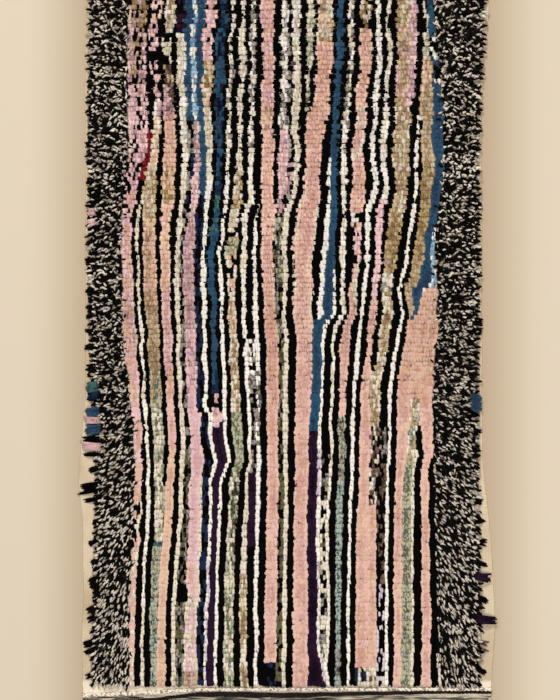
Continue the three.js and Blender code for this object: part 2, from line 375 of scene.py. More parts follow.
def yarn_finish(name, deep, light, fuzz_scale, fuzz_from, fuzz_to, fuzz_height, **gloss):
    """The finish of a spun yarn, which is deep or light in tone as its fuzz lies."""
    finish = Finish(name, light, **gloss)
    fuzz = finish.noise(finish.place(), fuzz_scale)
    cloth = finish.between(finish.step(fuzz, fuzz_from, fuzz_to), deep, light)
    finish.give("Base Color", cloth)
    finish.raised(fuzz, fuzz_height)
    return finish


def yarn_piece(name, paths, radius, finish):
    points, faces = bound_tube(np.array(paths), radius, TWINE_SIDES)
    cloth_piece(name, points, faces, finish)


second_course = {
    column: chart(TWINE_COURSE, column) + chart(SECOND_LINE_BELOW, column)
    for column in sorted({*TWINE_COURSE, *SECOND_LINE_BELOW})
}
twine_paths = twisted_pairs(TWINE_COURSE, TWINE_YARN, TWINE_TURN)
twine_paths += twisted_pairs(second_course, TWINE_YARN, TWINE_TURN, start=1.0)
twine_finish = yarn_finish(
    "dark twining yarn", dye(14, 10, 9), dye(72, 54, 42), 260.0, 0.42, 0.8, 0.5 * MM,
    roughness=0.9, sheen=0.1,
)
yarn_piece("twined_lines", twine_paths, TWINE_YARN, twine_finish)

# Hem cord
# A thicker cream cord of two slackly twisted wool strands is woven in between the field and the
# dark lines at each end. It rises and falls in round bumps.
CORD_YARN = 3.0 * MM
CORD_TURN = 22 * MM
CORD_COURSE = {75: 695, 120: 693.5, 160: 691.5, 200: 689, 240: 688.8, 500: 688.6}
cord_finish = yarn_finish(
    "cream hem cord", dye(158, 132, 112), dye(255, 246, 230), 140.0, 0.4, 0.52, 0.6 * MM,
    roughness=0.95, sheen=0.2,
)
yarn_piece("hem_cord", twisted_pairs(CORD_COURSE, CORD_YARN, CORD_TURN), CORD_YARN, cord_finish)

# Hem wefts
# Past the dark lines the cloth ends in a few thick wefts, dark, grey and cream by turns. Each lies
# a little higher than the one before it.
LAST_WEFTS = (697.2, 698.6, 700.0, 701.4, 702.6)
WEFT_YARN = 1.7 * MM
WEFT_RISE, WEFT_STEP_UP = 0.4 * MM, 0.3 * MM
WEFT_EVERY = 3
WEFT_STREAK = (16, 330, 1)
weft_paths = [
    across_the_end(end, WEFT_RISE + WEFT_STEP_UP * k, {MIDDLE_COLUMN: row})[::WEFT_EVERY]
    for end in (1, -1) for k, row in enumerate(LAST_WEFTS)
]
weft_finish = Finish("mixed hem weft", dye(200, 186, 164), roughness=0.95, sheen=0.15)
weft_place = weft_finish.place()
mixed = weft_finish.noise(weft_finish.stretched(weft_place, WEFT_STREAK), 1.0, 3.0)
weft_cloth = weft_finish.between(
    weft_finish.step(mixed, 0.47, 0.6), dye(96, 90, 84), dye(226, 214, 196))
weft_cloth = weft_finish.between(weft_finish.step(mixed, 0.52, 0.45), weft_cloth, dye(18, 15, 13))
weft_finish.give("Base Color", weft_cloth)
weft_finish.raised(weft_finish.noise(weft_place, 500.0), 0.5 * MM)
yarn_piece("hem_wefts", weft_paths, WEFT_YARN, weft_finish)

# Rags
# Torn strips of cotton, wool and jersey in the colours that the rug is knotted from. Each is worn
# matt cloth with its own weave, with tones from light to deep; shade is painted dark at each knot's
# foot, and most rags are darker in the lower field.
RAGS = {
    "black": ((9, 7, 7), (4, 3, 3)),
    "white": ((255, 251, 242), (236, 228, 214)),
    "cream": ((244, 234, 214), (208, 194, 168)),
    "pink": ((250, 210, 194), (214, 166, 150)),
    "rose": ((252, 216, 216), (222, 178, 182)),
    "peach": ((248, 214, 188), (220, 176, 148)),
    "salmon": ((238, 200, 178), (216, 164, 140)),
    "mauve": ((228, 192, 190), (176, 136, 138)),
    "lilac": ((228, 216, 224), (180, 168, 184)),
    "khaki": ((216, 194, 156), (158, 128, 92)),
    "mustard": ((196, 172, 122), (140, 110, 68)),
    "sage": ((204, 204, 176), (104, 112, 84)),
    "mint": ((184, 202, 190), (46, 64, 56)),
    "teal": ((70, 116, 114), (28, 62, 64)),
    "blue": ((44, 88, 118), (22, 54, 84)),
    "sky": ((174, 204, 224), (90, 140, 180)),
    "navy": ((34, 48, 78), (12, 16, 32)),
    "plum": ((48, 26, 52), (22, 10, 24)),
    "red": ((134, 30, 38), (66, 12, 18)),
    "grey": ((178, 170, 158), (80, 74, 68)),
    "olive": ((112, 108, 74), (46, 44, 28)),
    "brown": ((132, 106, 88), (58, 42, 34)),
}
RAG_WEAVE = 900.0
RAG_WOOL = 300.0
DYE_DRIFT = 48.0
THREAD_TONE, PATCH_TONE, WOOL_TONE = 0.5, 1.6, 0.9
DRIFTS = (0.98, 0.94, 1.0, 1.0), (1.0, 1.0, 0.94, 1.0)
DARKENS_BELOW_ROWS = (220, 340)
LOWER_FIELD_TINT = (0.86, 0.85, 0.85, 1.0)
KEEPS_TONE_BELOW = ("white", "cream", "lilac")
RAG_PATCHES = 26.0
DARK_RAG = 0.3
FOOT_SHADE_TONE = 0.3
FLECK = (200, 125, 200)
MELANGE = {
    "mint": 0.95, "sage": 0.9, "khaki": 0.6, "grey": 1.0, "teal": 0.7, "mauve": 0.7, "cream": 0.5,
    "olive": 0.9, "brown": 0.8, "mustard": 0.6, "lilac": 0.5, "black": 0.0, "white": 0.25,
}
MELANGE_ELSEWHERE = 0.36


def rag_finish(name, light, deep):
    """The finish of one rag's cloth. Its tone varies from knot to knot, and slowly over the rug."""
    light, deep = dye(*light), dye(*deep)
    dark = sum(light[:3]) < DARK_RAG
    finish = Finish(
        "rag " + name, light, roughness=0.95, sheen=0.01 if dark else 0.2,
        specular=0.04 if dark else 0.12,
    )
    place = finish.place()
    threads = finish.noise(place, RAG_WEAVE, 2.0)
    patches = finish.noise(place, RAG_PATCHES, 2.0)
    flecks = finish.step(finish.noise(finish.stretched(place, FLECK), 1.0, 1.0), 0.4, 0.6)
    melange = MELANGE.get(name, MELANGE_ELSEWHERE)
    tone = finish.attribute("tone") + (threads - 0.5) * THREAD_TONE + (patches - 0.5) * PATCH_TONE
    wool = finish.noise(place, RAG_WOOL, 1.0)
    tone = tone + (flecks - 0.5) * melange + (wool - 0.5) * WOOL_TONE
    cloth = finish.between(finish.step(tone, 0.0, 1.0), deep, light)
    drift = finish.step(finish.noise(place, DYE_DRIFT, 2.0), 0.38, 0.62)
    cloth = finish.between(1.0, cloth, finish.between(drift, *DRIFTS), blend="MULTIPLY")
    # Below row 220 the rags grow darker towards the foot, fully so from row 340, all but the palest.
    upper_share = finish.step(finish.part_of(place, "Y"), along(DARKENS_BELOW_ROWS[1]), along(DARKENS_BELOW_ROWS[0]))
    darkened = finish.between(1.0, cloth, LOWER_FIELD_TINT, blend="MULTIPLY")
    cloth = cloth if name in KEEPS_TONE_BELOW else finish.between(upper_share, darkened, cloth)
    # Painted shade: towards the foot of each knot, where the row above lies over it, the rag is mixed to
    # a very dark tone.
    painted_foot_shade = tuple(value * FOOT_SHADE_TONE for value in deep[:3]) + (1.0,)
    finish.give("Base Color", finish.between(finish.attribute("foot"), cloth, painted_foot_shade))
    finish.raised(threads * 0.35 + wool, 1.0 * MM)
    return finish


rag_finishes = {name: rag_finish(name, *tones) for name, tones in RAGS.items()}

# Rag end
# A knot's end is a short torn strip. It is modelled straight, as a bar cut into lengths, with four
# sides for knots and shag and six for locks, and every end of the rug is a bent copy of it.
KNOT_END_CUTS = (0.4, 0.76)
SHAG_END_CUTS = (0.45, 0.8)
LOCK_END_CUTS = (0.3, 0.55, 0.74, 0.86, 0.94)
LOCK_END_SIDES = 6
TURNS_OVER, TAPERS_FROM = 0.62, 0.74
BURIED_TO, CLEAR_FROM = 0.38, 0.74


def straight_end(cuts, sides=4):
    """The points and faces of a straight rag end, one long and one wide."""
    bpy.ops.object.select_all(action="DESELECT")
    bpy.ops.mesh.primitive_cylinder_add(vertices=sides, radius=0.5, depth=1, location=(0, 0, 0.5))
    bar = bpy.context.object
    bpy.ops.object.transform_apply(location=True)
    bpy.ops.object.mode_set(mode="EDIT")
    for cut in cuts:
        bpy.ops.mesh.select_all(action="SELECT")
        bpy.ops.mesh.bisect(plane_co=(0, 0, cut), plane_no=(0, 0, 1))
    bpy.ops.mesh.select_all(action="SELECT")
    bpy.ops.mesh.normals_make_consistent(inside=False)
    bpy.ops.object.mode_set(mode="OBJECT")
    points = np.array([tuple(vertex.co) for vertex in bar.data.vertices])
    faces = [tuple(face.vertices) for face in bar.data.polygons]
    bpy.data.objects.remove(bar)
    return points, faces


knot_end, shag_end = straight_end(KNOT_END_CUTS), straight_end(SHAG_END_CUTS)
lock_end = straight_end(LOCK_END_CUTS, LOCK_END_SIDES)


def laid_ends(end, roots, angles, lengths, widths, thicknesses, rise, fall, curl=0.0, taper=0.2):
    """Bends a rag end for each root. angles is the way it lies, anticlockwise from +X; rise is its
    height where it turns over, fall the height of its tip, curl its sideways bend, and taper the
    share of its width that its tip loses."""
    straight = end[0]
    t = straight[:, 2]
    ahead = np.stack([np.cos(angles), np.sin(angles), np.zeros_like(angles)], axis=1)
    side = np.stack([-np.sin(angles), np.cos(angles), np.zeros_like(angles)], axis=1)
    run = t ** 1.5
    foot, top, tip = roots[:, 2:3], rise[:, None], fall[:, None]
    height = foot + (top - foot) * np.sin(np.pi / 2 * np.minimum(t / TURNS_OVER, 1))
    height = height + (tip - top) * np.clip((t - TURNS_OVER) / (1 - TURNS_OVER), 0, 1) ** 1.5
    swell = 0.8 + 0.32 * np.sin(np.pi * np.clip(t * 0.86 + 0.1, 0, 1))
    at_tip = np.clip((t - TAPERS_FROM) / (1 - TAPERS_FROM), 0, 1)
    swell = swell * (1 - np.reshape(taper, (-1, 1)) * at_tip ** 2)
    bent = np.reshape(curl, (-1, 1)) * t ** 2
    wide = straight[:, 1] * swell * widths[:, None] + bent
    deep = straight[:, 0] * swell * thicknesses[:, None]
    tilt = np.clip(1.2 - 1.6 * t, -0.5, 1.0)
    points = (
        roots[:, None, :] * np.array([1.0, 1.0, 0.0])
        + ahead[:, None, :] * (run * lengths[:, None] - deep * tilt)[:, :, None]
        + side[:, None, :] * wide[:, :, None]
    )
    points[:, :, 2] += height + deep * np.sqrt(1 - 0.7 * np.minimum(tilt, 1.0) ** 2)
    return points


def many_ends(name, end, points, tones, finish, slot, foot_shade=0.0):
    """One piece of many bent rag ends, each with its tone. foot_shade says how dark the shade painted at
    its foot is.
    """
    count, each, _ = points.shape
    faces = []
    for start in range(0, count * each, each):
        faces.extend(tuple(start + corner for corner in face) for face in end[1])
    # The painted shade is full where the end is buried, and fades out where it comes clear.
    foot = 1 - np.clip((end[0][:, 2] - BURIED_TO) / (CLEAR_FROM - BURIED_TO), 0, 1)
    values = {
        "tone": np.repeat(tones, each),
        "foot": (np.broadcast_to(foot_shade, count)[:, None] * foot).ravel(),
    }
    return cloth_piece(name, points.reshape(-1, 3), faces, finish, values)


# Knotted field
# Rows of short rag knots stand in lengthwise stripes, each stripe one to five knots wide. A stripe
# gives its knots across and its rags by the row of the photograph that each holds up from. One
# that gives no rags is black.
KNOT_PITCH = 12.2 * MM
KNOT_ROW_PITCH = 12.0 * MM
STRIPES = {}
STRIPES["ab"] = [
    ({690: 1.1, 600: 1.3, 520: 1.5, 440: 1.6, 400: 2.0, 370: 2.4, 330: 2.7, 300: 2.3, 250: 1.9,
       190: 2.6, 150: 3.6, 95: 4.2, 50: 3.9},
     {700: "cream pink", 640: "cream pink pink", 545: "salmon cream pink black",
      500: "rose salmon", 345: "salmon mauve khaki rose", 300: "rose salmon",
      220: "rose pink rose black",
      190: "rose mauve rose black", 110: "mauve rose rose black", 80: "black mauve",
      74: "khaki mauve rose black", 30: "mustard khaki mauve black"}),
    ({690: 1.1, 520: 0.8, 430: 0.55, 300: 0.55, 250: 0.7, 150: 1.0, 95: 1.2, 50: 0.6},
     {700: "black", 182: "red", 132: "black"}),
    ({690: 0.9, 350: 0.8, 215: 0.7, 195: 0}, {700: "cream", 600: "white cream", 300: "cream"}),
    {690: 0.9, 430: 0.75, 350: 0.6, 215: 0.6, 195: 0},
    ({690: 1.5, 520: 1.9, 430: 2.3, 350: 2.5, 250: 2.8, 190: 3.2, 150: 1.4, 95: 1.2, 50: 2.1},
     {700: "mint sage", 560: "sage", 548: "teal", 540: "sage cream", 410: "khaki sage",
      370: "khaki", 300: "pink peach khaki", 215: "khaki cream khaki", 170: "cream peach",
      118: "white mauve", 80: "mauve black rose", 40: "rose mauve pink black"}),
    {490: 0, 475: 0.8, 400: 0.8, 330: 0.65, 250: 0.8, 150: 0.9, 100: 0.6, 50: 1.0, 10: 0.6},
    ({690: 2.1, 430: 1.7, 300: 1.9, 250: 2.1, 190: 2.9, 150: 2.4, 50: 1.9, 10: 2.2},
     {700: "peach", 440: "pink", 370: "rose pink", 290: "pink peach", 200: "mustard peach",
      170: "salmon", 115: "mauve brown mauve", 80: "khaki brown", 68: "cream cream black",
      32: "mustard cream"}),
    ({690: 1.0, 430: 0.7, 300: 0.6, 200: 0.9}, {700: "black", 30: "plum black"}),
]
STRIPES["bc"] = [
    ({690: 0.9, 430: 1.0, 100: 1.2, 50: 1.7, 10: 0.9},
     {700: "cream", 170: "white cream", 34: "plum black"}),
    ({690: 1.6, 520: 1.5, 430: 0.7, 350: 1.1, 250: 0.7, 190: 1.3, 110: 1.1},
     {700: "grey olive black", 600: "black", 585: "grey olive black", 440: "grey black",
      200: "navy grey black", 120: "blue"}),
    ({690: 2.5, 430: 2.1, 250: 2.5, 210: 1.7, 110: 1.0, 50: 0.7},
     {700: "khaki mauve", 668: "rose cream", 590: "rose pink", 560: "rose", 410: "rose rose mauve",
      330: "mauve", 215: "mauve rose", 165: "grey mauve cream", 118: "sky white"}),
    ({612: 0, 600: 0.5, 480: 0.5, 470: 0}, {700: "cream"}),
    ({690: 1.3, 350: 1.4, 250: 1.7, 150: 1.5, 110: 0.8, 50: 1.6},
     {700: "navy black", 195: "blue"}),
    ({690: 0.7, 520: 0.8, 350: 1.0, 150: 1.1, 110: 1.4, 10: 1.9},
     {700: "lilac white", 560: "white", 180: "cream", 104: "peach mustard cream",
      62: "rose pink black rose"}),
    {420: 0, 405: 0.6, 200: 0.6, 100: 0.5},
    ({690: 1.2, 520: 1.1, 460: 1.5, 430: 2.1, 410: 1.5, 390: 1.3, 150: 1.3, 50: 1.7, 10: 1.2},
     {700: "plum", 424: "mauve plum rose", 408: "mauve black", 392: "navy blue", 370: "blue",
      240: "blue teal", 212: "teal",
      196: "navy blue", 82: "blue", 64: "navy blue"}),
    {420: 0, 405: 0.6, 200: 0.6, 100: 0.5},
]
STRIPES["cd"] = [
    ({690: 0.9}, {700: "white", 160: "white cream grey"}),
    {690: 1.0, 520: 0.9, 210: 0.7, 150: 1.1},
    ({690: 2.3, 520: 2.1, 430: 2.3, 350: 1.9, 290: 1.5, 250: 2.9, 210: 2.3, 150: 1.1},
     {700: "sage cream", 560: "sage olive cream", 470: "sage", 415: "khaki cream",
      340: "peach khaki cream", 300: "cream peach black", 255: "khaki sage", 234: "cream black",
      226: "cream", 206: "khaki cream mustard", 174: "cream"}),
    {690: 1.0, 350: 0.9, 210: 0.7, 150: 1.0},
    ({690: 1.9, 600: 1.9, 520: 1.3, 480: 0.9, 350: 1.0, 250: 1.3, 50: 1.1},
     {700: "khaki cream", 560: "cream", 450: "white", 300: "cream white", 150: "cream grey white"}),
    ({690: 1.0, 560: 1.1, 540: 1.5, 470: 1.4, 430: 0.9, 370: 1.7, 320: 1.1, 150: 1.3, 50: 1.1},
     {700: "black", 542: "plum", 468: "grey black", 380: "grey black white", 340: "black"}),
    ({690: 1.0, 350: 1.1, 215: 0.9, 195: 0}, {700: "white", 450: "grey white", 370: "white"}),
    {690: 1.0, 600: 1.2, 350: 1.0, 215: 0.8, 195: 0},
]
STRIPES["de"] = [
    ({690: 2.0, 600: 2.3, 430: 1.9, 350: 2.5, 300: 2.3, 250: 2.3, 205: 2.6, 50: 2.5, 10: 3.1},
     {700: "navy black", 662: "pink", 480: "pink salmon", 300: "pink", 132: "peach khaki pink",
      104: "pink rose"}),
    {210: 0, 195: 0.9, 150: 0.6, 130: 1.0, 50: 1.1},
    ({210: 0, 195: 1.4, 150: 2.0, 132: 1.5, 50: 1.4}, {700: "mauve rose", 132: "white grey white"}),
    ({690: 1.0, 350: 0.9, 300: 1.4, 250: 1.8, 215: 1.6, 150: 1.4, 120: 0.8, 50: 0.9},
     {700: "olive black", 440: "olive black grey", 300: "sage grey black olive",
      215: "grey mauve black", 130: "black grey"}),
    ({690: 0.9, 150: 1.0, 120: 1.6, 50: 1.5}, {700: "cream", 60: "white cream"}),
]
STRIPES["ef"] = [
    {690: 1.1},
    ({115: 0, 100: 1.0, 50: 0.9, 10: 1.2}, {700: "cream sage"}),
    {115: 0, 100: 1.1, 50: 0.6},
    ({335: 0, 320: 0.5, 205: 0.6, 150: 0.6, 140: 0}, {700: "cream pink"}),
    ({690: 3.6, 430: 3.0, 350: 3.2, 250: 3.6, 210: 3.8, 150: 3.4, 110: 4.0, 50: 3.0},
     {700: "pink", 150: "pink salmon", 40: "khaki cream peach"}),
    ({335: 0, 320: 0.5, 205: 0.5, 195: 0}, {700: "cream pink"}),
]
STRIPES["fg"] = [
    {322: 0, 317: 0.8, 250: 1.2, 150: 1.2, 50: 0.7},
    ({322: 0, 316: 0.9, 250: 1.2, 165: 0.8, 150: 0}, {700: "white"}),
    ({690: 2.8, 662: 2.8, 655: 1.3, 600: 1.7, 520: 1.5, 440: 1.3, 430: 1.7, 50: 1.5},
     {700: "plum", 434: "blue"}),
    ({690: 0.2, 655: 0.6, 600: 0.7, 520: 1.0, 440: 0.9, 430: 0.6, 310: 0.6, 250: 0.2, 150: 0},
     {700: "white lilac white", 500: "lilac white", 440: "white"}),
]
STRIPES["gh"] = [
    ({662: 0.2, 640: 1.2, 600: 1.5, 520: 0.9, 430: 1.5, 350: 1.3, 310: 1.1, 150: 0.7, 50: 1.1},
     {700: "cream grey", 630: "grey black cream", 540: "olive black cream", 500: "black grey",
      450: "black"}),
    ({690: 0.9, 350: 0.9, 250: 1.3, 50: 1.3}, {700: "cream white", 150: "cream white grey"}),
    {690: 1.0, 350: 1.1, 310: 0.9, 250: 1.7, 210: 0.9, 150: 1.1},
]
STRIPES["hi"] = [
    ({690: 1.5, 600: 1.3, 520: 1.7, 350: 1.9, 250: 1.5, 210: 2.5, 190: 2.7, 100: 2.1, 50: 2.7},
     {700: "mint grey", 640: "mint", 480: "sage grey", 412: "pink", 300: "cream pink",
      262: "pink rose black", 222: "white black", 214: "pink salmon", 170: "cream pink",
      110: "salmon pink", 25: "mustard cream black"}),
    {690: 1.0, 350: 1.0, 210: 0.6, 190: 0.9, 150: 1.2, 50: 0.7},
    ({690: 0.9, 150: 1.1}, {700: "white"}),
    {690: 1.0, 350: 0.9},
]
STRIPES["ij"] = [
    ({690: 2.1, 664: 2.1, 660: 2.6, 430: 2.1, 390: 1.7, 350: 1.1, 250: 1.3, 50: 0.9},
     {700: "navy cream navy", 662: "salmon pink", 480: "pink", 300: "rose",
      200: "white cream", 60: "cream"}),
    {375: 0, 362: 0.8, 250: 0.5, 210: 1.0, 50: 0.9},
    ({690: 2.3, 660: 1.9, 430: 1.7, 390: 2.2, 310: 1.9, 250: 2.6, 150: 3.2, 50: 2.5},
     {700: "cream khaki cream brown", 662: "salmon pink", 502: "grey cream brown black",
      425: "khaki cream", 340: "khaki mustard cream", 290: "cream grey", 276: "mustard khaki",
      215: "khaki cream khaki", 110: "khaki peach khaki mauve", 30: "mustard cream khaki"}),
    ({115: 0, 100: 1.2, 50: 1.3}, {700: "rose mauve"}),
    ({690: 1.2, 520: 1.3, 430: 1.5, 405: 1.0, 350: 0.9, 250: 1.1, 150: 0.9},
     {700: "black black lilac", 580: "black brown", 462: "grey black", 425: "black"}),
]
STRIPES["jk"] = [
    ({690: 0.9, 125: 0.8, 112: 0}, {700: "white"}),
    {690: 1.0, 150: 0.7, 125: 0.6, 112: 0},
]
STRIPES["kl"] = [
    ({320: 0, 308: 1.3, 290: 1.7, 250: 1.9, 190: 2.1, 100: 1.9, 50: 1.1},
     {700: "khaki", 280: "mustard khaki", 235: "mustard", 200: "mustard khaki",
      170: "khaki", 100: "khaki peach", 60: "sage cream black"}),
    ({322: 0, 314: 1.4, 280: 1.8, 250: 1.3, 150: 1.7, 50: 1.3, 10: 1.9},
     {700: "blue", 86: "blue black white", 40: "blue"}),
    ({295: 0, 288: 0.8, 232: 0.7, 225: 0}, {700: "sky white"}),
    ({690: 1.7, 430: 1.9, 322: 2.0, 300: 1.6, 288: 0.9, 282: 0},
     {700: "pink", 402: "salmon"}),
    ({690: 1.9, 450: 1.9, 405: 1.4, 350: 2.0, 322: 2.0, 300: 1.2, 288: 0.6, 282: 0},
     {700: "sage", 460: "sage cream khaki", 395: "salmon"}),
    ({690: 0.8, 520: 0.6, 450: 0.4, 430: 0}, {700: "cream"}),
    {690: 1.2, 520: 1.2, 432: 0.9, 424: 0},
    ({690: 2.3, 520: 1.7, 400: 1.8, 350: 2.0, 322: 1.8, 300: 0.9, 288: 0.5, 282: 0},
     {700: "pink", 402: "salmon"}),
    {690: 1.2, 520: 0.9, 470: 0.8, 450: 0},
    ({690: 0.7, 660: 0.6, 640: 0}, {700: "cream"}),
]
NARROWEST = 0.32
NARROWEST_SPAN, NARROWEST_STRIPE = 0.3 * KNOT_PITCH, 0.5 * KNOT_PITCH
SPREAD = {"black": 1.35}
SLIM = {"white": 0.3, "cream": 0.22, "lilac": 0.3}
SWAY = {-65: 1.7, 330: 1.5, 420: 0.9, 704: 0.8}
RUFFLE = {-65: 0.95, 110: 0.9, 170: 0.72, 300: 0.58, 350: 0.4, 430: 0.22, 704: 0.16}
CREASES = 0.14
CREASE_DEPTH = 2.0 * MM
BEATEN = 0.5 * MM
RAG_RUNS_OVER = 3.0
RUN_ON = 0.2
EDGE_WANDER = 1.2 * MM
EDGE_JITTER = (0.21 * MM, 0.175 * MM)
KNOT_STRAY = (0.24 * MM, 0.21 * MM)
KNOT_LAG = (1.3 * MM, -0.6 * MM)
KNOT_LEAN = (0.05, 0.05)
KNOT_DIP = 0.5 * MM

hand = np.random.default_rng(1917)
knots = {}
for stripes in STRIPES.values():
    stripes[:] = [
        stripe if isinstance(stripe, tuple) else (stripe, {700: "black"})
        for stripe in stripes
    ]


def ruffled(pair, ruffle):
    """A pair's first value is for a pressed pile, and full ruffling adds the second to it."""
    return pair[0] + pair[1] * ruffle


def waves(count):
    """Unevenness that carries on for two or three rows, as a hand's does."""
    loose = hand.normal(0, 1, count + 4)
    return np.convolve(loose, (0.3, 0.65, 0.8, 0.65, 0.3), mode="valid")[:count] / 1.3


def knots_across(knots_by_row, row):
    width = float(np.interp(-row, [-key for key in knots_by_row], list(knots_by_row.values())))
    return width if width > NARROWEST else 0.0


knot_rows = round((FIELD_FOOT_ROW - FIELD_HEAD_ROW) * PIXEL / KNOT_ROW_PITCH)
field_rows = row_at(along(FIELD_FOOT_ROW) + (np.arange(knot_rows) + 0.5) * KNOT_ROW_PITCH)
sway = {name: waves(knot_rows) * chart(SWAY, field_rows) * MM for name in "abcdefghijkl"}
edge_wander = {
    span: [waves(knot_rows) * EDGE_WANDER for _ in stripes] for span, stripes in STRIPES.items()
}
creased = (hand.random(knot_rows) < CREASES * chart(RUFFLE, field_rows)) * CREASE_DEPTH
beaten = hand.normal(0, BEATEN, knot_rows) - 0.5 * creased
last_rag = {}
for number in range(knot_rows):
    y = along(FIELD_FOOT_ROW) + (number + 0.5) * KNOT_ROW_PITCH + beaten[number]
    row = row_at(y)
    ruffle = chart(RUFFLE, row)
    for span, stripes in STRIPES.items():
        left, right = (guide(name, row) + sway[name][number] for name in span)
        turn = row + RAG_RUNS_OVER * hand.uniform(-1, 1)
        rags_here = [
            [rags for key, rags in rags_by_row.items() if key >= turn][-1].split()
            for _, rags_by_row in stripes
        ]
        widths = np.array([
            knots_across(knots_by_row, row) * SPREAD.get(rags[0], 1.0)
            for (knots_by_row, _), rags in zip(stripes, rags_here)
        ])
        if right - left < NARROWEST_SPAN or widths.sum() == 0:
            continue
        edges = left + np.concatenate([[0], np.cumsum(widths)]) * (right - left) / widths.sum()
        for i in range(1, len(stripes)):
            edges[i] += edge_wander[span][i][number] + hand.normal(0, ruffled(EDGE_JITTER, ruffle))
        for i, rags in enumerate(rags_here):
            room = max(edges[i + 1] - edges[i], NARROWEST_STRIPE)
            if widths[i] == 0:
                continue
            count = max(1, round(room / KNOT_PITCH))
            for k in range(count):
                middle = edges[i] + (k + 0.5) * room / count
                x = middle + hand.normal(0, ruffled(KNOT_STRAY, ruffle))
                knot_y = y + hand.normal(0, ruffled(KNOT_LAG, ruffle))
                lean = hand.normal(0, ruffled(KNOT_LEAN, ruffle))
                dip = creased[number] + hand.normal(0, KNOT_DIP)
                for side in (-1, 1):
                    before = last_rag.get((span, i, k, side))
                    carried = before in rags and hand.random() < RUN_ON
                    rag = before if carried else hand.choice(rags)
                    last_rag[(span, i, k, side)] = rag
                    free = side * (2 * k - count + 1) == count - 1
                    slim = 1 - SLIM.get(rag, 0) * (1 - ruffle) * (count == 1)
                    knot = (side, x, knot_y, slim * room / count, lean, dip, free)
                    knots.setdefault(rag, []).append(knot)

# Knot piles
# The two ends of each knot stand side by side, bent over towards the foot. In the upper field they
# are ruffled, and in the lower one they are worn and trodden into one flat surface.
KNOT_LENGTH, KNOT_LENGTH_VARIES = 18 * MM, 0.8 * MM
KNOT_FOOT = 3.2 * MM
KNOT_TOP = 14.3 * MM
KNOT_REACH = 6.5 * MM
ROOT_ASIDE, ROOT_STRAY = 0.21, 0.25 * MM
ROOT_LAG = (1.1 * MM, -0.7 * MM)
WAVE_LAG, WAVE_RISE, WAVE_TONE = 1.2 * MM, 0.8 * MM, 0.16
SPLAY = (0.04, 0.05)
END_LEAN = (0.05, 0.04)
END_RISE = (0.12 * MM, 0.22 * MM)
END_WIDTHS, END_WIDER = (0.8, 0.98), (-0.18, 0.4)
END_TAPER = (0.5, -0.05)
END_THICKNESSES = (2.3 * MM, 2.9 * MM)
PRESSED_THICKER, FREE_THICKER = 0.9 * MM, 1.6 * MM
TIP_DROPS, RUFFLED_DROP = (1.1 * MM, 2.3 * MM), 7.2 * MM
FOOT_SHADE_STRENGTH = (0.02, 0.78)
PILE_TONE = (0.5, -0.2)
EDGE_HIGHLIGHT = 0.4
SPECKLE = {
    "mint": 0.42, "sage": 0.38, "khaki": 0.34, "grey": 0.42, "navy": 0.3, "teal": 0.36,
    "mauve": 0.34, "cream": 0.26, "olive": 0.3, "brown": 0.3, "mustard": 0.3, "lilac": 0.3,
}
SPECKLE_ELSEWHERE = (0.072, 0.088)
PRESSED_FOLD = math.radians(75)
PRESSED_RAGS = "pink rose peach salmon mauve plum blue navy black".split()
PRESSED_ROW = 365
PRESSED_BLEND = 60


def press_flat(pile):
    """Folds the trodden knots of the lower field crisply, so that they lie as one flat surface."""
    mesh = pile.data
    each = len(knot_end[0])
    mesh.set_sharp_from_angle(angle=PRESSED_FOLD)
    corners = np.empty(2 * len(mesh.edges), dtype=np.int32)
    mesh.edges.foreach_get("vertices", corners)
    places = np.empty(3 * len(mesh.vertices), dtype=np.float32)
    mesh.vertices.foreach_get("co", places)
    folded = np.empty(len(mesh.edges), dtype=bool)
    mesh.edges.foreach_get("use_edge_sharp", folded)
    knot_x, knot_y = (places[axis::3][corners[::2] // each * each] for axis in (0, 1))
    folded &= row_at(knot_y) + PRESSED_BLEND * uneven(knot_x * 9, knot_y * 7) > PRESSED_ROW
    mesh.edges.foreach_set("use_edge_sharp", folded)


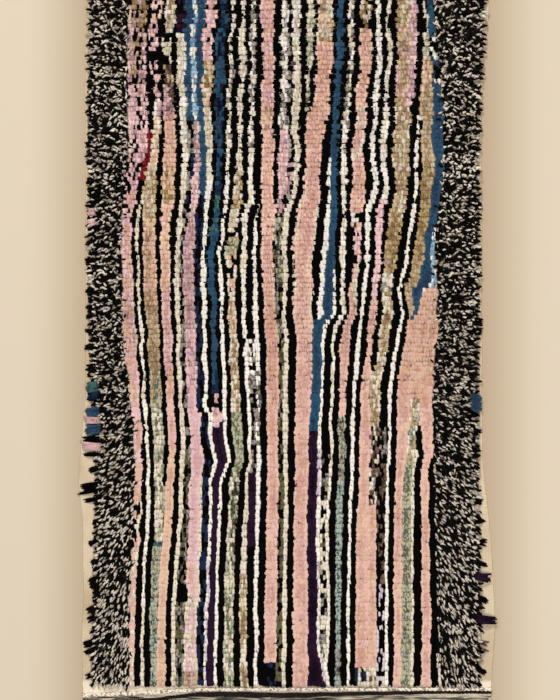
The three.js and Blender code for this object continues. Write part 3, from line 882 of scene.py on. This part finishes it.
for rag, places in knots.items():
    side, x, y, width, lean, dip, free = np.array(places).T
    count = len(x)
    wave = uneven(x * 2.2, y * 1.7)
    ruffle = chart(RUFFLE, row_at(y))
    roots = np.stack([
        x + side * width * ROOT_ASIDE + hand.normal(0, ROOT_STRAY, count),
        y + KNOT_REACH + WAVE_LAG * wave + hand.normal(0, 1, count) * ruffled(ROOT_LAG, ruffle),
        np.full(count, KNOT_FOOT),
    ], axis=1)
    angles = -np.pi / 2 + side * ruffled(SPLAY, ruffle) + lean
    angles = angles + hand.normal(0, 1, count) * ruffled(END_LEAN, ruffle)
    rise = KNOT_TOP + WAVE_RISE * wave - dip + hand.normal(0, 1, count) * ruffled(END_RISE, ruffle)
    lengths = hand.normal(KNOT_LENGTH, KNOT_LENGTH_VARIES, count)
    widths = width * (hand.uniform(*END_WIDTHS, count) + ruffled(END_WIDER, ruffle))
    thicker = (PRESSED_THICKER + FREE_THICKER * free) * (1 - ruffle)
    thicknesses = hand.uniform(*END_THICKNESSES, count) + thicker
    drops = hand.uniform(*TIP_DROPS, count) + RUFFLED_DROP * ruffle ** 1.5
    points = laid_ends(
        knot_end, roots, angles, lengths, widths, thicknesses, rise, rise - drops,
        taper=ruffled(END_TAPER, ruffle),
    )
    # How strongly shade is painted at each end's foot, most in the ruffled upper field.
    foot_shade = ruffled(FOOT_SHADE_STRENGTH, ruffle ** 1.4) * hand.random(count) ** 1.3
    speckle = SPECKLE.get(rag, ruffled(SPECKLE_ELSEWHERE, ruffle))
    # Painted highlight: the outermost ends of each stripe are given a lighter tone.
    tones = ruffled(PILE_TONE, ruffle) + WAVE_TONE * wave + EDGE_HIGHLIGHT * free
    tones = np.clip(tones + hand.normal(0, 1, count) * speckle, 0, 1)
    halves = {"": np.full(count, True)}
    if rag == "black":
        halves = {"_left": x < 0, "_right": x >= 0}
    for half, chosen in halves.items():
        pile = many_ends(
            "pile_" + rag + half, knot_end, points[chosen], tones[chosen], rag_finishes[rag],
            "rag_pile", foot_shade[chosen],
        )
        if rag in PRESSED_RAGS:
            press_flat(pile)

# Border shag
# Thin strips of black and off-white cloth are knotted in longer along both sides. They lie over
# each other, crosswise in the upper half, and sweep out and down towards the foot.
SHAG_PITCH = 9.4 * MM
SHAG_COLUMNS = 12
SHAG_STRAY = 0.32
SHAG_FOOT = 3.0 * MM
SHAG_TOP, SHAG_TOP_VARIES = 16 * MM, 2.2 * MM
SHAG_DROPS = (1 * MM, 6 * MM)
LOWEST_TIP = 5 * MM
EDGE_SLOPE = 5 * MM
OVERHANGS = (-3 * MM, 5 * MM)
LONG_OVERHANG, LONG_SHARE = 9 * MM, 0.25
SHAG_FLIPPED = 0.3
SHAG_CURL = 3.0 * MM
SHAG_THICKNESSES = (3.2 * MM, 4.4 * MM)
SHAG_WIDTHS_VARY = (0.8, 1.2)
SHAG_TAPER = 0.45
SHAG_CHEQUER = 0.26
SHAG_BLACK_SHARE = {-65: 0.62, 400: 0.6, 520: 0.56, 704: 0.55}
SHAG_SWEEP = {-65: 0.1, 100: 0.1, 330: 0.15, 420: 0.45, 480: 0.75, 560: 1.05, 640: 1.3, 704: 1.35}
SHAG_LOOSENESS = {-65: 0.66, 330: 0.55, 420: 0.38, 520: 0.2, 704: 0.14}
SHAG_WIDTHS = {-65: 4.9, 380: 4.9, 480: 4.8, 704: 4.5}
SHAG_SHORTEST = {-65: 9, 380: 9, 470: 10, 704: 12}
SHAG_LONGEST = {-65: 17, 380: 16, 470: 17, 704: 20}
SHAG_PALENESS = {-65: 0.53, 430: 0.55, 540: 0.66, 704: 0.68}
SHAG_PATCHINESS = {-65: 0.33, 430: 0.3, 540: 0.2, 704: 0.18}
SHAG_SIDES = {-1: ("shag_left", "a", "_left"), 1: ("shag_right", "l", "_right")}
shag_finishes = {
    "black": rag_finish("black shag", (18, 16, 14), (5, 4, 4)),
    "white": rag_finish("off-white shag", (247, 238, 221), (150, 138, 122)),
}
shag = {"black": [], "white": []}
for side, (outer, inner, half) in SHAG_SIDES.items():
    rows = np.arange(along(FIELD_FOOT_ROW) + 4 * MM, along(FIELD_HEAD_ROW), SHAG_PITCH)
    columns = (np.arange(SHAG_COLUMNS) + 0.5) / SHAG_COLUMNS
    y, inward = (grid.ravel() for grid in np.meshgrid(rows, columns))
    y = np.concatenate([y, y + 0.5 * SHAG_PITCH])
    inward = np.concatenate([inward, inward + 0.5 / SHAG_COLUMNS])
    count = len(y)
    chequer = np.arange(count) % 2 == (np.arange(count) // SHAG_COLUMNS) % 2
    y = y + hand.uniform(-SHAG_STRAY, SHAG_STRAY, count) * SHAG_PITCH
    inward = inward + hand.uniform(-SHAG_STRAY, SHAG_STRAY, count) / SHAG_COLUMNS
    inward = np.clip(inward, 0, 1)
    row = row_at(y)
    x = guide(outer, row) * (1 - inward) + guide(inner, row) * inward
    sweep = chart(SHAG_SWEEP, row) * (0.62 + 0.48 * inward)
    spread = chart(SHAG_LOOSENESS, row) * (0.6 + 0.9 * inward)
    flipped = hand.random(count) < SHAG_FLIPPED * chart(SHAG_LOOSENESS, row) * inward
    angles = np.where(side < 0, np.pi + sweep, -sweep) + hand.normal(0, 1, count) * spread
    angles = angles + np.pi * flipped
    shortest, longest = chart(SHAG_SHORTEST, row) * MM, chart(SHAG_LONGEST, row) * MM
    lengths = shortest + (longest - shortest) * hand.random(count)
    allowed = hand.uniform(*OVERHANGS, count) + LONG_OVERHANG * (hand.random(count) < LONG_SHARE)
    overhang = side * (x + np.cos(angles) * lengths - guide(outer, row)) - allowed
    x = x - side * np.maximum(overhang, 0)
    slope = EDGE_SLOPE * (1 - inward) ** 3
    rise = SHAG_TOP + hand.normal(0, SHAG_TOP_VARIES, count) - slope
    fall = np.maximum(rise - hand.uniform(*SHAG_DROPS, count) - slope, LOWEST_TIP)
    points = laid_ends(
        shag_end, np.stack([x, y, np.full(count, SHAG_FOOT)], axis=1), angles, lengths,
        chart(SHAG_WIDTHS, row) * MM * hand.uniform(*SHAG_WIDTHS_VARY, count),
        hand.uniform(*SHAG_THICKNESSES, count), rise, fall,
        hand.normal(0, SHAG_CURL, count), taper=SHAG_TAPER,
    )
    tones = hand.normal(0, 1, count) * chart(SHAG_PATCHINESS, row) + chart(SHAG_PALENESS, row)
    tones = np.clip(tones, 0, 1)
    black_share = chart(SHAG_BLACK_SHARE, row) + SHAG_CHEQUER * np.where(chequer, 1, -1)
    dark = hand.random(count) < black_share
    for rag, chosen in (("black", dark), ("white", ~dark)):
        shag[rag].append(("shag_" + rag + half, shag_end, points[chosen], tones[chosen]))

# Border rim
# The outermost strips of the shag lie low over the bare margins, side by side and mostly black.
# They are rounder than the rest, and taper to their tips.
RIM_PITCH = 15 * MM
RIM_STRAY = 0.25
RIM_SWEEP = 0.6
RIM_LEAN = 0.14
RIM_INSIDE = (5, 9)
RIM_LENGTHS, RIM_WIDTHS, RIM_THICKNESSES = (13, 21), (5.5, 7.5), (4.0, 5.0)
RIM_TOP, RIM_TIP = 15 * MM, 5.5 * MM
RIM_TAPER = 0.7
RIM_BLACK_SHARE = 0.8
rim = {"black": [], "white": []}
for side, (outer, _, _) in SHAG_SIDES.items():
    y = np.arange(along(FIELD_FOOT_ROW) + 8 * MM, along(FIELD_HEAD_ROW), RIM_PITCH)
    count = len(y)
    y = y + hand.uniform(-RIM_STRAY, RIM_STRAY, count) * RIM_PITCH
    sweep = RIM_SWEEP * chart(SHAG_SWEEP, row_at(y))
    angles = np.where(side < 0, np.pi + sweep, -sweep) + hand.normal(0, RIM_LEAN, count)
    x = guide(outer, row_at(y)) - side * hand.uniform(*RIM_INSIDE, count) * MM
    points = laid_ends(
        lock_end, np.stack([x, y, np.full(count, SHAG_FOOT)], axis=1), angles,
        hand.uniform(*RIM_LENGTHS, count) * MM, hand.uniform(*RIM_WIDTHS, count) * MM,
        hand.uniform(*RIM_THICKNESSES, count) * MM, np.full(count, RIM_TOP),
        np.full(count, RIM_TIP), hand.normal(0, SHAG_CURL, count), taper=RIM_TAPER,
    )
    dark = hand.random(count) < RIM_BLACK_SHARE
    tones = np.clip(hand.normal(0.55, 0.3, count), 0, 1)
    for rag, chosen in (("black", dark), ("white", ~dark)):
        rim[rag].append((points[chosen], tones[chosen]))
for rag, strips in shag.items():
    both_sides = (np.concatenate(part) for part in zip(*rim[rag]))
    strips.append(("shag_rim_" + rag, lock_end, *both_sides))
    for strip in strips:
        many_ends(*strip, shag_finishes[rag], "border_shag")

# Side locks
# The ends of the outermost knots hang loose over the bare margins. A lock is a few strips of one
# rag side by side. Each has its side, the row of its root, the column of its tip, its thickness
# in pixels, its rag, and how many pixels its tip drops.
LOCKS = [
    (-1, 145, 84, 4, "black", 0), (-1, 162, 85, 3, "black", 2), (-1, 184, 85, 3, "black", -2),
    (-1, 213, 87, 5, "mauve", 0), (-1, 222, 87, 5, "rose", 2), (-1, 243, 85, 3, "black", 1),
    (-1, 261, 84, 4, "black", 0), (-1, 271, 85, 4, "black", 1), (-1, 290, 85, 3, "black", 2),
    (-1, 308, 84, 4, "black", 0), (-1, 315, 85, 3, "black", 2), (-1, 331, 84, 4, "black", 1),
    (-1, 346, 84, 6, "black", 2), (-1, 371, 85, 11, "black", 1), (-1, 386, 86, 9, "teal", 2),
    (-1, 395, 87, 7, "navy", 1),
    (-1, 411, 85, 7, "blue", 0), (-1, 420, 84, 5, "mauve", 0), (-1, 429, 85, 8, "blue", 1),
    (-1, 438, 79, 6, "black", 3), (-1, 447, 81, 8, "rose", -1), (-1, 454, 82, 3, "black", 0),
    (-1, 467, 88, 4, "black", 3), (-1, 486, 77, 9, "black", 4), (-1, 498, 80, 4, "black", 3),
    (-1, 520, 90, 3, "black", 3), (-1, 540, 87, 5, "black", 4), (-1, 558, 90, 3, "black", 5),
    (-1, 580, 87, 9, "black", 3), (-1, 605, 84, 4, "black", 5), (-1, 615, 86, 4, "black", 5),
    (-1, 641, 81, 5, "black", 3), (-1, 649, 82, 3, "black", 3), (-1, 672, 85, 4, "black", 5),
    (1, 112, 482, 4, "black", 0), (1, 206, 483, 4, "black", 2), (1, 250, 483, 4, "black", 0),
    (1, 272, 483, 3, "black", 1), (1, 320, 483, 5, "black", 3), (1, 331, 484, 4, "black", 0),
    (1, 401, 482, 15, "blue", 3), (1, 430, 483, 4, "black", 3), (1, 497, 484, 3, "black", 4),
    (1, 518, 486, 3, "black", 4), (1, 540, 488, 5, "black", 3), (1, 562, 488, 4, "black", 3),
    (1, 575, 491, 5, "plum", 3), (1, 596, 490, 3, "black", 5), (1, 617, 497, 8, "plum", 3),
    (1, 641, 492, 2, "brown", 2), (1, 647, 492, 2, "brown", 3), (1, 668, 488, 4, "black", 5),
]
STRIP_WIDTH, STRIP_WIDTHS_VARY = 5.0 * MM, (1.1, 1.4)
STRIP_THICKNESS = 4.4 * MM
STRIP_LAYERS = 2
LAYER_ABOVE, LAYER_SHORTER = 2 * MM, 0.1
LOCK_CURL = 2.6 * MM
LOCK_FALLS_ASTRAY = 1.2 * MM
LOCK_FOOT = 4 * MM
THIN_LOCKS = ("black", "brown")
THIN, FULL = (
    {"inside": 9 * MM, "ragged": 0.24, "top": 9.5 * MM, "tip": 3.4 * MM, "taper": 0.6},
    {"inside": 16 * MM, "ragged": 0.12, "top": 20.5 * MM, "tip": 8.4 * MM, "taper": 0.15},
)
lock_ends = {}
for side, row, tip, thick, rag, drop in LOCKS:
    strips = max(1, round(thick * PIXEL / STRIP_WIDTH))
    build = THIN if rag in THIN_LOCKS else FULL
    root_x = guide("shag_left" if side < 0 else "shag_right", row) - side * build["inside"]
    for k in range(STRIP_LAYERS * strips):
        level = k // strips
        offset = (k % strips - 0.5 * (strips - 1)) * STRIP_WIDTH
        full_reach = 1 - LAYER_SHORTER * level - build["ragged"] * hand.random()
        reach = abs(across(tip) - root_x) * full_reach
        fallen = -drop * PIXEL + hand.normal(0, LOCK_FALLS_ASTRAY)
        width = STRIP_WIDTH * hand.uniform(*STRIP_WIDTHS_VARY)
        lock_ends.setdefault(rag, []).append((
            root_x, along(row) + offset, LOCK_FOOT + LAYER_ABOVE * level,
            math.atan2(fallen, side * reach), math.hypot(reach, fallen), width, STRIP_THICKNESS,
            build["top"] + 1.25 * LAYER_ABOVE * level, build["tip"] + LAYER_ABOVE * level,
        ))
for rag, strips in lock_ends.items():
    x, y, z, angle, length, width, deep, rise, fall = np.array(strips).T
    points = laid_ends(
        lock_end, np.stack([x, y, z], axis=1), angle, length, width, deep, rise, fall,
        hand.normal(0, LOCK_CURL, len(x)), taper=(THIN if rag in THIN_LOCKS else FULL)["taper"],
    )
    tones = np.clip(hand.normal(0.5, 0.2, len(x)), 0, 1)
    many_ends("lock_" + rag, lock_end, points, tones, rag_finishes[rag], "border_shag")

# Floor
# A plain pale warm floor for the rug to lie on, with a soft shadow painted on it close round the rug.
FLOOR_SIZE = 14
FLOOR = dye(226, 212, 190)
PAINTED_FLOOR_SHADOW = dye(192, 170, 142)
FLOOR_SHADE_FROM, FLOOR_SHADE_TO = 0.47, 0.69
LONGER_THAN_WIDE = 0.47
BELOW_RUG = 0.5 * MM
bpy.ops.object.select_all(action="DESELECT")
bpy.ops.mesh.primitive_plane_add(size=FLOOR_SIZE, location=(0, 0, -BELOW_RUG))
floor = bpy.context.object
floor.name = "floor"
plaster = Finish("plain pale floor", FLOOR, roughness=0.85, sheen=0.0)
aside, beyond = (
    plaster.start.maths("ABSOLUTE", plaster.part_of(plaster.place(), axis), 0.0) for axis in "XY")
aside = plaster.start.maths("MAXIMUM", aside, beyond - LONGER_THAN_WIDE)
# Painted shadow: the floor is coloured darker close round the rug.
plaster.give("Base Color", plaster.between(
    plaster.step(aside, FLOOR_SHADE_FROM, FLOOR_SHADE_TO), PAINTED_FLOOR_SHADOW, FLOOR))
floor.data.materials.append(plaster.material)

# Studio light
# One large soft lamp above the head end, a wide fill opposite, and a pale room all round.
KEY = {"place": (-2.4, 6.3, 6.9), "size": 3.0, "power": 560.0, "colour": (1.0, 0.97, 0.93)}
FILL = {"place": (1.2, -1.9, 5.0), "size": 3.0, "power": 125.0, "colour": (1.0, 0.97, 0.94)}


def lamp(name, place, size, power, colour):
    bpy.ops.object.light_add(type="AREA", location=place)
    light = bpy.context.object
    light.name = name
    light.data.shape = "DISK"
    light.data.size = size
    light.data.energy = power
    light.data.color = colour
    aim = -np.array(place) / np.linalg.norm(place)
    light.rotation_euler = (math.acos(-aim[2]), 0, math.atan2(-aim[0], aim[1]))


lamp("key_lamp", **KEY)
lamp("fill_lamp", **FILL)
room = bpy.data.worlds.new("pale room")
room.use_nodes = True
room.node_tree.nodes["Background"].inputs["Color"].default_value = (0.95, 0.93, 0.9, 1)
room.node_tree.nodes["Background"].inputs["Strength"].default_value = 0.28
bpy.context.scene.world = room
bpy.context.scene.view_settings.view_transform = "Standard"

# Camera
# It looks straight down at the rug, as the photograph does, and its frame is as many pixels high.
PHOTO_COLUMNS, PHOTO_ROWS = 560, 700
CAMERA_HEIGHT = 4.2
SENSOR = 36.0
bpy.ops.object.camera_add(
    location=(across(PHOTO_COLUMNS / 2), along(PHOTO_ROWS / 2), CAMERA_HEIGHT), rotation=(0, 0, 0)
)
camera = bpy.context.object
camera.data.sensor_fit = "VERTICAL"
camera.data.sensor_height = SENSOR
camera.data.lens = SENSOR * CAMERA_HEIGHT / (PHOTO_ROWS * PIXEL)
bpy.context.scene.camera = camera
